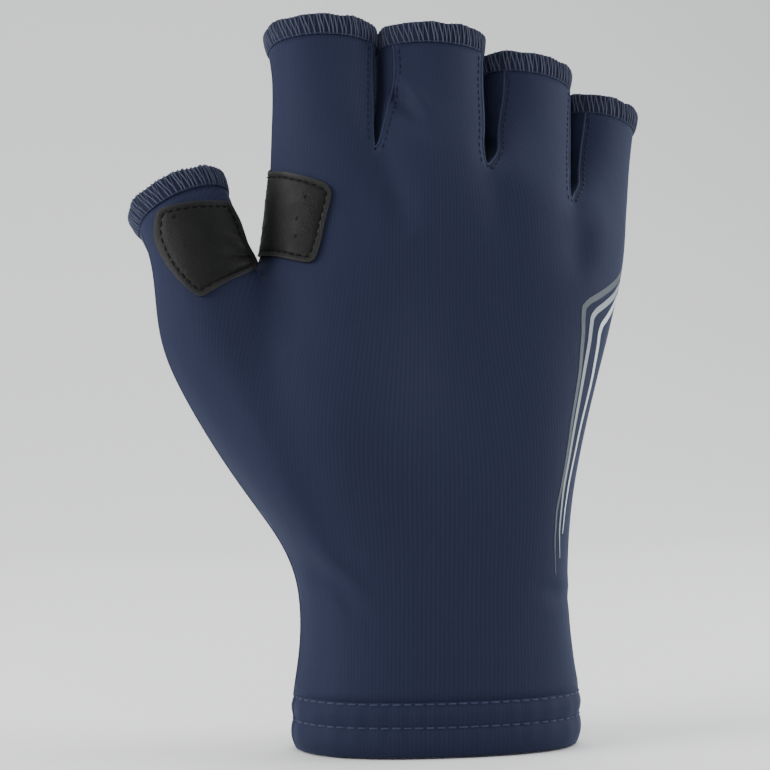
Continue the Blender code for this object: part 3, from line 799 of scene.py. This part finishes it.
INDEX_AXIS = Vector((-26.0, 1.0, 0.0)) * MM
INDEX_REACH = 18.0 * MM
ANGLE_SCALE = 0.20
OUTLINE_POINTS = 200
IN_FRONT = -60.0
smooth_cloth = tree_of(cloth["palm_knit"], cloth["back_knit"])


def corners_cut(rows, share, rounds, closed):
    """A line or loop of rows whose corners are cut until they are round."""
    rows = np.array(rows, float)
    for _ in range(rounds):
        pairs = zip(rows, np.roll(rows, -1, axis=0) if closed else rows[1:])
        cut = [end for a, b in pairs for end in (a + share * (b - a), b + share * (a - b))]
        rows = np.array(cut if closed else [rows[0], *cut, rows[-1]])
    return rows


def even_rows(table, columns, count, whole=True):
    """A table's rows at an even spacing along its first columns, with the end or without."""
    steps = np.linalg.norm(np.diff(table[:, :columns], axis=0), axis=1)
    lengths = np.cumsum([0.0, *steps])
    at = np.linspace(0.0, lengths[-1], count, endpoint=whole)
    return np.column_stack([np.interp(at, lengths, column) for column in table.T])


def even_outline(outline):
    """A rounded outline as points at an even spacing."""
    points = corners_cut(outline, share=0.25, rounds=2, closed=True)
    return even_rows(np.vstack([points, points[:1]]), 2, OUTLINE_POINTS, False)


def from_palm(tree, across, up):
    """Point and way out of a surface behind a place seen from the palm, in millimetres."""
    return hit(tree, Vector((across, IN_FRONT, up)) * MM, Vector((0, 1, 0)))


def on_index(scaled, up):
    """Point and way out of the cloth at a scaled angle and a height below the index finger."""
    angle = math.radians(scaled / ANGLE_SCALE)
    way = Vector((-math.sin(angle), -math.cos(angle), 0.0))
    start = INDEX_AXIS + Vector((0.0, 0.0, up * MM))
    return hit(smooth_cloth, start + way * INDEX_REACH, -way)


PATCHES = {
    "thumb": (even_outline(THUMB_OUTLINE), lambda across, up: from_palm(smooth_cloth, across, up)),
    "index": (even_outline([(angle * ANGLE_SCALE, up) for angle, up in INDEX_OUTLINE]), on_index),
}


def inside_by(points, outline):
    """Distance of each point from an outline."""
    ends = np.roll(outline, -1, axis=0)
    way = ends - outline
    gap = points[:, None, :] - outline[None]
    t = np.clip((gap * way).sum(-1) / (way**2).sum(-1), 0.0, 1.0)
    return np.linalg.norm(gap - t[..., None] * way, axis=-1).min(axis=1)


def drawn_in(outline, depth):
    """An outline moved inward by a distance."""
    way = np.roll(outline, -1, axis=0) - np.roll(outline, 1, axis=0)
    way /= np.linalg.norm(way, axis=1)[:, None]
    inward = np.column_stack([way[:, 1], -way[:, 0]])
    centre = outline.mean(axis=0)
    inward *= np.sign(((centre - outline) * inward).sum(axis=1).mean())
    return outline + inward * depth


# %% Lay a patch
RING_SHARES = (0.99, 0.975, 0.95, 0.92, 0.89, 0.86, 0.83, 0.79, 0.74, 0.66, 0.56, 0.45, 0.33, 0.20, 0.08)
PATCH_WALL, PATCH_GAP, PATCH_BEVEL = 0.8 * MM, 0.06 * MM, 0.22 * MM
# The patch's relief in millimetres: the stitches' groove, then the soft rise of its middle.
STITCH_INSET, STITCH_GROOVE, STITCH_REACH = 1.35, 0.20, 0.40
MIDDLE_RISE, MIDDLE_REACH = 0.10, 3.0
EDGE_HIGHLIGHT_REACH = 0.45
RIDGES = {
    "thumb": (
        (-55.5, 124.5, -46.8, 119.4, 0.9, 0.95),
        (-57.0, 115.0, -46.0, 117.5, 0.9, 1.00),
        (-54.0, 119.4, -46.8, 118.6, 0.9, -0.45),
        (-59.0, 109.6, -50.0, 114.0, 0.8, 0.35),
    ),
    "index": ((-33.0, 118.5, -30.5, 124.0, 1.5, 0.10),),
}


def lay_patch(digit):
    """A patch on the cloth, with a groove under its stitches and a mask for the highlight painted along its
    edge.
    """
    outline, place = PATCHES[digit]
    patch = primitive(f"{digit}_grip", bpy.ops.mesh.primitive_circle_add, vertices=len(outline), radius=1.0)
    for vertex, (u, v) in zip(patch.data.vertices, outline):
        vertex.co = (u, v, 0.0)
    centre = (*outline.mean(axis=0), 0.0)
    edit(patch, "VERT", "SELECT")
    before = 1.0
    for share in RING_SHARES:
        bpy.ops.mesh.extrude_edges_move()
        bpy.ops.transform.resize(value=(share / before,) * 3, center_override=centre)
        before = share
    bpy.ops.mesh.merge(type="CENTER")
    bpy.ops.mesh.select_all(action="SELECT")
    bpy.ops.mesh.normals_make_consistent(inside=False)
    done()
    flat = points_of(patch)[:, :2]
    depth = inside_by(flat, outline)
    groove = -STITCH_GROOVE * np.exp(-(((depth - STITCH_INSET) / STITCH_REACH) ** 2))
    relief = groove + MIDDLE_RISE * np.clip(depth / MIDDLE_REACH, 0.0, 1.0)
    landed, ways = (np.array(column) for column in zip(*(place(u, v) for u, v in flat)))
    lift = relief * MM + fold_height(landed, RIDGES[digit]) + PATCH_GAP
    put_points(patch, landed + ways * lift[:, None])
    face_out(patch, smooth_cloth)
    # The mask for the painted highlight: one at the cut edge, fading inward.
    edge_highlight = patch.data.attributes.new("edge_highlight", "FLOAT", "POINT")
    edge_highlight.data.foreach_set("value", np.exp(-depth / EDGE_HIGHLIGHT_REACH))
    apply_modifier(patch, "SOLIDIFY", thickness=PATCH_WALL, offset=1.0)
    bevel = {"width": PATCH_BEVEL, "segments": 3, "limit_method": "ANGLE", "angle_limit": SHARP_ANGLE}
    apply_modifier(patch, "BEVEL", **bevel)
    return patch


def patch_stitches(digit):
    """Stitches in the groove that runs inside a patch's edge."""
    outline, place = PATCHES[digit]
    line = []
    for u, v in drawn_in(outline, STITCH_INSET):
        found, normal = place(u, v)
        line.append((found + normal * (PATCH_WALL + THREAD_RISE), normal))
    return lay_stitches(f"{digit}_grip_stitches", SHORT_STITCH, spaced(line, PATCH_STITCH_STEP, True))


# %% Lay, stitch and pierce both patches
PATCH_STITCH_STEP = 2.05 * MM
HOLE_SINK = 0.44 * MM
HOLE_WAY = Vector((0.3, 0.0, 1.0)).normalized()
HOLES = {
    "thumb": ((-62.0, 130.2), (-65.3, 128.0)),
    "index": ((-33.8, 133.3), (-35.8, 128.1), (-36.3, 123.8)),
}
hole_places = []
for digit in HOLES:
    grip = lay_patch(digit)
    dress(grip, "synthetic_leather", f"{digit}_patch")
    dress(patch_stitches(digit), "thread")
    grip_tree = tree_of(grip)
    for across, up in HOLES[digit]:
        found, normal = from_palm(grip_tree, across, up)
        hole_places.append((found - normal * HOLE_SINK, normal, HOLE_WAY))
    print(digit, "grip", len(grip.data.polygons), "faces")
HOLE = model_stitch("hole", length=1.6 * MM, radius=0.60 * MM)
# The holes are finished near black below, as painted shade inside them.
dress(lay_stitches("needle_holes", HOLE, hole_places), "synthetic_leather")

# %% [markdown]
# ## The stripes
# Three thin reflective stripes start in the seam at the little finger's side, turn down with
# a bend and taper along the edge of the palm. Each is a strip of film less than a tenth of a
# millimetre thick, made from a grid whose points are set beside a line on the cloth.

# %% Lay the stripes
# Each row is a point of the line and the stripe's width there, in millimetres.
STRIPES = {
    "stripe_outer": (
        (47.6, 6, 119, 1.9), (49.3, 2.5, 116.9, 1.9), (47.5, -1.6, 114, 1.8),
        (41.5, -6.8, 110.7, 1.6), (37.5, -9.2, 108.9, 1.5), (35.7, -10.3, 107.3, 1.5),
        (35.4, -10.5, 104.5, 1.4), (35.3, -10.6, 101, 1.3), (33.9, -12.3, 91.4, 1.15),
        (30.9, -15.2, 79.7, 1), (28, -17, 65.2, 0.85), (26.2, -17.8, 58, 0.7),
        (25.8, -17.3, 50.7, 0.5), (26.3, -16.3, 42.4, 0.2),
    ),
    "stripe_middle": (
        (48, 5, 115.2, 1.9), (49, 2, 113.3, 1.9), (47.3, -1.3, 110.8, 1.8),
        (43, -5.4, 108.2, 1.6), (40, -7.7, 106.6, 1.5), (38.4, -8.7, 105, 1.5),
        (37.9, -9.1, 102, 1.4), (37.4, -9.5, 98.8, 1.3), (34.8, -11.8, 89.4, 1.15),
        (31.5, -14.7, 77.2, 1), (28.3, -16.7, 62.8, 0.8), (27.3, -16.5, 53.1, 0.5),
        (27.7, -15.3, 46.2, 0.2),
    ),
    "stripe_inner": (
        (48.2, 3.6, 111, 1.9), (48.4, 1.2, 109.5, 1.9), (46.6, -1.6, 107.2, 1.8),
        (44, -3.8, 104.9, 1.6), (42, -5.6, 103.2, 1.5), (41, -6.4, 101, 1.5),
        (40.5, -6.7, 97.6, 1.4), (38.4, -8.2, 89.4, 1.2), (34.1, -12.2, 77.2, 1),
        (30.7, -14.8, 65.1, 0.8), (29.2, -15.2, 57.8, 0.5), (28.6, -15.2, 52.1, 0.2),
    ),
}
STRIPE_STEPS = 120
FILM, FILM_GAP = 0.08 * MM, 0.03 * MM
palm_tree = tree_of(cloth["palm_knit"])


def lay_stripe(name, rows):
    """A strip of film along a line on the palm."""
    line = even_rows(corners_cut(rows, share=0.12, rounds=3, closed=False), 3, STRIPE_STEPS)
    last = STRIPE_STEPS - 1
    strip = primitive(name, bpy.ops.mesh.primitive_grid_add, x_subdivisions=2, y_subdivisions=last, size=2.0)
    spots = [nearest(palm_tree, Vector(row[:3]) * MM) for row in line]
    for vertex in strip.data.vertices:
        k = int(round((vertex.co.y + 1.0) * 0.5 * last))
        ahead = spots[min(k + 2, last)][0] - spots[max(k - 2, 0)][0]
        side = ahead.normalized().cross(spots[k][1]).normalized()
        place = spots[k][0] + side * (vertex.co.x * 0.5 * line[k, 3] * MM)
        found, normal, _ = nearest(palm_tree, place)
        vertex.co = found + normal * FILM_GAP
    strip.data.update()
    face_out(strip, palm_tree)
    apply_modifier(strip, "SOLIDIFY", thickness=FILM, offset=1.0)
    return strip


for name, rows in STRIPES.items():
    dress(lay_stripe(name, rows), "thread")
    print(name, "from", rows[0][2], "to", rows[-1][2], "mm up")

# %% [markdown]
# ## Materials
# Every finish is built from nodes on object coordinates, and the patches also read how near
# their cut edge is. The knit has fine ribs up the hand, little loops along each rib, a soft
# sheen at grazing angles and slightly uneven dye. Several colours hold painted shade and one
# holds a painted highlight; each finish says where.

# %% Node helpers
class Paint:
    """A short hand for adding nodes to one material."""

    def __init__(self, name):
        self.material = bpy.data.materials.new(name)
        self.material.use_nodes = True
        self.tree = self.material.node_tree
        self.shader = self.tree.nodes["Principled BSDF"]
        self.place = self.add("ShaderNodeTexCoord").outputs["Object"]

    def put(self, socket, value):
        """Links a socket to a node's output, or sets it to a number or a colour."""
        if hasattr(value, "is_output"):
            self.tree.links.new(value, socket)
        else:
            socket.default_value = value

    def add(self, kind, inputs=None, **settings):
        """A node with its settings and with what is put on its inputs."""
        node = self.tree.nodes.new(kind)
        for key, value in settings.items():
            setattr(node, key, value)
        for key, value in (inputs or {}).items():
            self.put(node.inputs[key], value)
        return node

    def math(self, operation, *values):
        return self.add("ShaderNodeMath", dict(enumerate(values)), operation=operation).outputs[0]

    def plus(self, a, b):
        return self.math("ADD", a, b)

    def times(self, a, b):
        return self.math("MULTIPLY", a, b)

    def waves(self, value, pitch):
        return self.math("SINE", self.times(value, 2.0 * math.pi / pitch))

    def axes(self):
        return self.add("ShaderNodeSeparateXYZ", {0: self.place}).outputs

    def noise(self, scale, detail, place=None):
        inputs = {"Vector": place or self.place, "Scale": scale, "Detail": detail}
        return self.add("ShaderNodeTexNoise", inputs).outputs["Fac"]

    def ramp(self, value, low, high, low_out=0.0, high_out=1.0):
        inputs = {"Value": value, "From Min": low, "From Max": high, "To Min": low_out, "To Max": high_out}
        return self.add("ShaderNodeMapRange", inputs).outputs["Result"]

    def mix(self, share, a, b):
        inputs = {"Factor": share, "A": a, "B": b}
        return self.add("ShaderNodeMix", inputs, data_type="RGBA").outputs["Result"]

    def bump(self, height, strength, distance, before=None):
        inputs = {"Height": height, "Strength": strength, "Distance": distance}
        if before is not None:
            inputs["Normal"] = before
        return self.add("ShaderNodeBump", inputs).outputs["Normal"]

    def surface(self, shade, roughness, relief, specular, sheen=()):
        """Puts what varies, and what is the same all over, on the shader's own sockets."""
        inputs = {"Base Color": shade, "Roughness": roughness, "Normal": relief}
        inputs["Specular IOR Level"] = specular
        inputs.update(zip(("Sheen Weight", "Sheen Roughness", "Sheen Tint"), sheen))
        for key, value in inputs.items():
            self.put(self.shader.inputs[key], value)
        return self.material


def colour(red, green, blue):
    """A linear colour from the 0-255 numbers that a screen shows."""
    shares = [value / 255.0 for value in (red, green, blue)]
    line = [v / 12.92 if v <= 0.04045 else ((v + 0.055) / 1.055) ** 2.4 for v in shares]
    return (*line, 1.0)


def toned(base, share):
    """A colour made lighter or darker by a share."""
    return tuple(min(v * share, 1.0) for v in base[:3]) + (1.0,)


# %% Knit
RIB_PITCH, LOOP_PITCH, RIB_DRIFT = 1.0 * MM, 0.42 * MM, 0.9 * MM
SIDE_WIDTH, SIDE_DEPTH = 30.0 * MM, 18.0 * MM
KNIT_SHEEN = (0.45, (0.45, 0.62, 1.0, 1.0))


def knit(name, base, wrap, sheen):
    """Ribbed stretch knit, with shade painted into the grooves of its ribs. Wrap says how the ribs' spacing
    turns round the hand's sides.
    """
    paint = Paint(name)
    x, y, z = paint.axes()
    around = y
    if wrap:
        turn = paint.math("TANH", paint.math("DIVIDE", x, SIDE_WIDTH))
        depth = paint.plus(y, wrap * SIDE_DEPTH)
        around = paint.math("MULTIPLY_ADD", paint.times(depth, turn), wrap, x)
    around = paint.plus(around, paint.times(paint.noise(14.0, 2.0), RIB_DRIFT))
    rib = paint.waves(around, RIB_PITCH)
    loop = paint.waves(z, LOOP_PITCH)
    streaks = {"X": paint.times(around, 1500.0), "Z": paint.times(z, 80.0)}
    streaks = paint.add("ShaderNodeCombineXYZ", streaks).outputs[0]
    uneven_dye_and_rib_shade = paint.ramp(paint.noise(1.0, 2.0, streaks), 0.3, 0.7)
    cloudy = paint.ramp(paint.noise(45.0, 4.0), 0.3, 0.7)
    grain = paint.ramp(paint.noise(2600.0, 2.0), 0.25, 0.75)
    # Light and dark tones of the knit. The ribs mix them as painted shade, lighter on the crests and darker
    # in the grooves; the clouds and the grain mix them as random tone.
    light, dark = toned(base, 1.12), toned(base, 0.93)
    # The uneven dye shifts the tone at random and also sets how strong the painted rib shade is.
    strength = paint.math("MULTIPLY_ADD", uneven_dye_and_rib_shade, 0.6, 0.5)
    rib_shade = paint.ramp(paint.times(paint.plus(rib, 1.0), strength), 0.0, 2.2)
    shade = paint.mix(rib_shade, dark, light)
    shade = paint.mix(paint.times(cloudy, 0.25), shade, light)
    shade = paint.mix(paint.times(grain, 0.22), shade, dark)
    height = paint.plus(paint.times(rib, 0.8), paint.times(paint.times(loop, rib), 0.5))
    relief = paint.bump(height, 0.08, 0.05 * MM)
    relief = paint.bump(paint.noise(900.0, 3.0), 0.25, 0.10 * MM, relief)
    relief = paint.bump(paint.noise(70.0, 3.0), 0.25, 0.6 * MM, relief)
    return paint.surface(shade, paint.ramp(rib_shade, 0.0, 1.0, 0.78, 0.62), relief, 0.10, (sheen, *KNIT_SHEEN))


# %% Thread
PLY_PITCH = 0.30 * MM
THREAD_SHEEN = (0.4, (0.7, 0.8, 1.0, 1.0))


def thread(name, base, sheen):
    """Twisted thread: fine slanted plies with shade painted between them, and a soft shine."""
    paint = Paint(name)
    x, y, z = paint.axes()
    slant = paint.plus(paint.times(x, 1.3), paint.plus(z, paint.times(y, 0.8)))
    ply = paint.waves(slant, PLY_PITCH)
    fuzz = paint.noise(1800.0, 3.0)
    # Painted shade: each ply is lighter on its crest and darker in the groove beside it.
    shade = paint.mix(paint.ramp(ply, -1.0, 1.0), toned(base, 0.55), toned(base, 1.5))
    shade = paint.mix(paint.ramp(fuzz, 0.35, 0.75, 0.0, 0.5), shade, base)
    relief = paint.bump(fuzz, 0.3, 0.05 * MM, paint.bump(ply, 0.4, 0.04 * MM))
    return paint.surface(shade, paint.ramp(fuzz, 0.3, 0.7, 0.5, 0.72), relief, 0.12, (sheen, *THREAD_SHEEN))


# %% Synthetic leather of the grip patches
def hide(name, base):
    """Synthetic leather: fine pebbles with painted shade in their creases, worn places, a highlight painted
    along the cut edge and a low shine.
    """
    paint = Paint(name)
    cells = {"Vector": paint.place, "Scale": 1500.0}
    cells = paint.add("ShaderNodeTexVoronoi", cells, feature="DISTANCE_TO_EDGE")
    pebble = paint.ramp(cells.outputs["Distance"], 0.0, 0.22)
    worn = paint.ramp(paint.noise(140.0, 5.0), 0.35, 0.70)
    edge = paint.add("ShaderNodeAttribute", attribute_name="edge_highlight").outputs["Fac"]
    # Painted shade: each pebble darkens towards the creases between the pebbles.
    shade = paint.mix(pebble, toned(base, 0.5), base)
    shade = paint.mix(paint.times(worn, 0.45), shade, toned(base, 1.7))
    # Painted highlight: near the cut edge the leather is made much paler.
    shade = paint.mix(paint.times(edge, 0.75), shade, toned(base, 5.5))
    relief = paint.bump(paint.noise(220.0, 4.0), 0.35, 0.4 * MM, paint.bump(pebble, 0.5, 0.06 * MM))
    return paint.surface(shade, paint.ramp(worn, 0.0, 1.0, 0.46, 0.62), relief, 0.14)


# %% Reflective film of the stripes
def film(name, base):
    """Printed film: a cool grey with tiny glass beads that glint."""
    paint = Paint(name)
    beads = paint.ramp(paint.noise(5200.0, 1.0), 0.35, 0.65)
    shade = paint.mix(beads, toned(base, 0.72), base)
    rough = paint.ramp(beads, 0.0, 1.0, 0.58, 0.46)
    return paint.surface(shade, rough, paint.bump(beads, 0.25, 0.03 * MM), 0.15)


# %% Give every piece its finish
def of_each(part):
    return [f"{digit}_{part}" for digit in DIGITS]


NAVY = colour(29, 33, 53)
ON_PALM = ("palm_knit", "hem_knit", "side_seam_roll", "hem_seam_roll", "hem_joint_roll")
FINISHES = (
    (knit("ribbed_knit_palm", NAVY, 1.0, 0.06), ON_PALM),
    (knit("ribbed_knit_back", NAVY, -1.0, 0.06), ("back_knit",)),
    # Painted shade: the strips between the fingers are a touch darker than the palm, for the shade in the
    # slots.
    (knit("ribbed_knit_web_shaded", colour(27, 31, 50), 0, 0.05), WEBS),
    # Painted shade: the rolled cloth under the overlock is darker than the panels, for the shade between the
    # strands.
    (knit("rolled_rim_cloth_shaded", colour(26, 29, 45), 0, 0.04), of_each("rim")),
    (thread("overlock_thread", colour(62, 66, 83), 0.08), of_each("overlock")),
    (thread("return_thread", colour(46, 50, 67), 0.05), of_each("overlock_return")),
    (thread("seam_thread", colour(34, 39, 60), 0.05), ("web_seam_roll", *of_each("needle_line"))),
    (thread("hem_thread", colour(48, 53, 74), 0.08), HEM_ROWS),
    (thread("stitch_thread", colour(17, 21, 38), 0.05), ("web_stitches",)),
    (thread("grip_thread", colour(6, 6, 7), 0.0), ("thumb_grip_stitches", "index_grip_stitches")),
    # Painted shade: the needle holes are near black, for the shade inside them.
    (thread("hole_painted_shade", colour(3, 3, 3), 0.0), ("needle_holes",)),
    (hide("grained_hide", colour(14, 14, 14)), ("thumb_grip", "index_grip")),
    (film("stripe_grey", colour(76, 83, 88)), ("stripe_outer",)),
    (film("stripe_light", colour(140, 148, 150)), ("stripe_middle",)),
    (film("stripe_pale", colour(196, 204, 205)), ("stripe_inner",)),
)
FINISH = {name: finish for finish, names in FINISHES for name in names}
for name, (node, slot) in PANELS.items():
    dress(cloth[name], slot, node)
for piece, slot, nodes in dressed:
    piece.data.materials.clear()
    piece.data.materials.append(FINISH[piece.name])
    only(piece)
    bpy.ops.object.shade_smooth_by_angle(angle=SHARP_ANGLE)
    for node in nodes:
        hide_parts(node)
    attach(piece, "root")
for pattern in (SHORT_STITCH, COVER_STITCH, HOLE):
    bpy.data.objects.remove(pattern)
print(len(dressed), "pieces dressed")

# %% [markdown]
# ## Floor, light and camera
# The glove stands on a plain pale floor that sweeps up behind it. Two large soft lights stand
# left and right, so that the edges of the dark cloth are lighter than its middle, as in the
# photograph. Weaker ones fill the front and the top, and one lights the backdrop.

# %% Floor and backdrop
FLOOR = CAD_BOX[0][2] - 0.4 * MM
FLOOR_SIZE, WALL_HEIGHT, SWEEP = 8.0, 4.0, 1.3
floor = primitive("floor", bpy.ops.mesh.primitive_plane_add, size=FLOOR_SIZE, location=(0.0, -2.0, FLOOR))
select_edges(floor, lambda a, b: min(a.y, b.y) > 0.0)
bpy.ops.mesh.extrude_region_move(TRANSFORM_OT_translate={"value": (0.0, 0.0, WALL_HEIGHT)})
done()
apply_modifier(floor, "BEVEL", width=SWEEP, segments=64, limit_method="ANGLE")
bpy.ops.object.transform_apply()
paper = Paint("pale_paper")
paper.put(paper.shader.inputs["Base Color"], (0.78, 0.78, 0.77, 1.0))
paper.put(paper.shader.inputs["Roughness"], 0.9)
floor.data.materials.append(paper.material)

# %% Lights
AIM = Vector((0.0, 0.0, 0.09))
WHITE, COOL = (1.0, 1.0, 1.0), (0.96, 0.98, 1.0)


def soft_light(name, place, size, power, tint=WHITE):
    """A square soft box that looks at the glove's middle."""
    lamp = bpy.data.lights.new(name, "AREA")
    lamp.shape = "SQUARE"
    lamp.size = size
    lamp.energy = power
    lamp.color = tint
    light = placed(name, lamp)
    light.location = place
    light.rotation_euler = (AIM - Vector(place)).to_track_quat("-Z", "Y").to_euler()


soft_light("left_box", (-1.1, -0.20, 0.50), 0.7, 19.0)
soft_light("right_box", (1.1, -0.10, 0.45), 0.7, 15.0, COOL)
soft_light("front_fill", (-0.2, -1.4, 0.7), 1.0, 4.5)
soft_light("top_box", (0.0, 0.3, 1.3), 1.2, 9.0)
soft_light("back_box", (0.5, 1.0, 1.9), 1.4, 14.0)
world = bpy.data.worlds.new("studio")
world.use_nodes = True
sky = world.node_tree.nodes["Background"].inputs
sky["Color"].default_value = (0.9, 0.93, 1.0, 1.0)
sky["Strength"].default_value = 0.55
bpy.context.scene.world = world

# %% Camera
VIEW_SIDE = math.radians(-14.0)
VIEW_DISTANCE = 0.55
SENSOR, FOCAL_LENGTH = 36.0, 104.96
TARGET = Vector((-12.2, 0.0, 88.2)) * MM
lens = bpy.data.cameras.new("camera")
lens.sensor_width = SENSOR
lens.lens = FOCAL_LENGTH
lens.clip_start = 0.01
lens.dof.use_dof = False
camera = placed("camera", lens)
camera.location = TARGET + Vector((math.sin(VIEW_SIDE), -math.cos(VIEW_SIDE), 0.0)) * VIEW_DISTANCE
camera.rotation_euler = (TARGET - camera.location).to_track_quat("-Z", "Y").to_euler()
bpy.context.scene.camera = camera
print("camera at", tuple(round(v, 4) for v in camera.location))
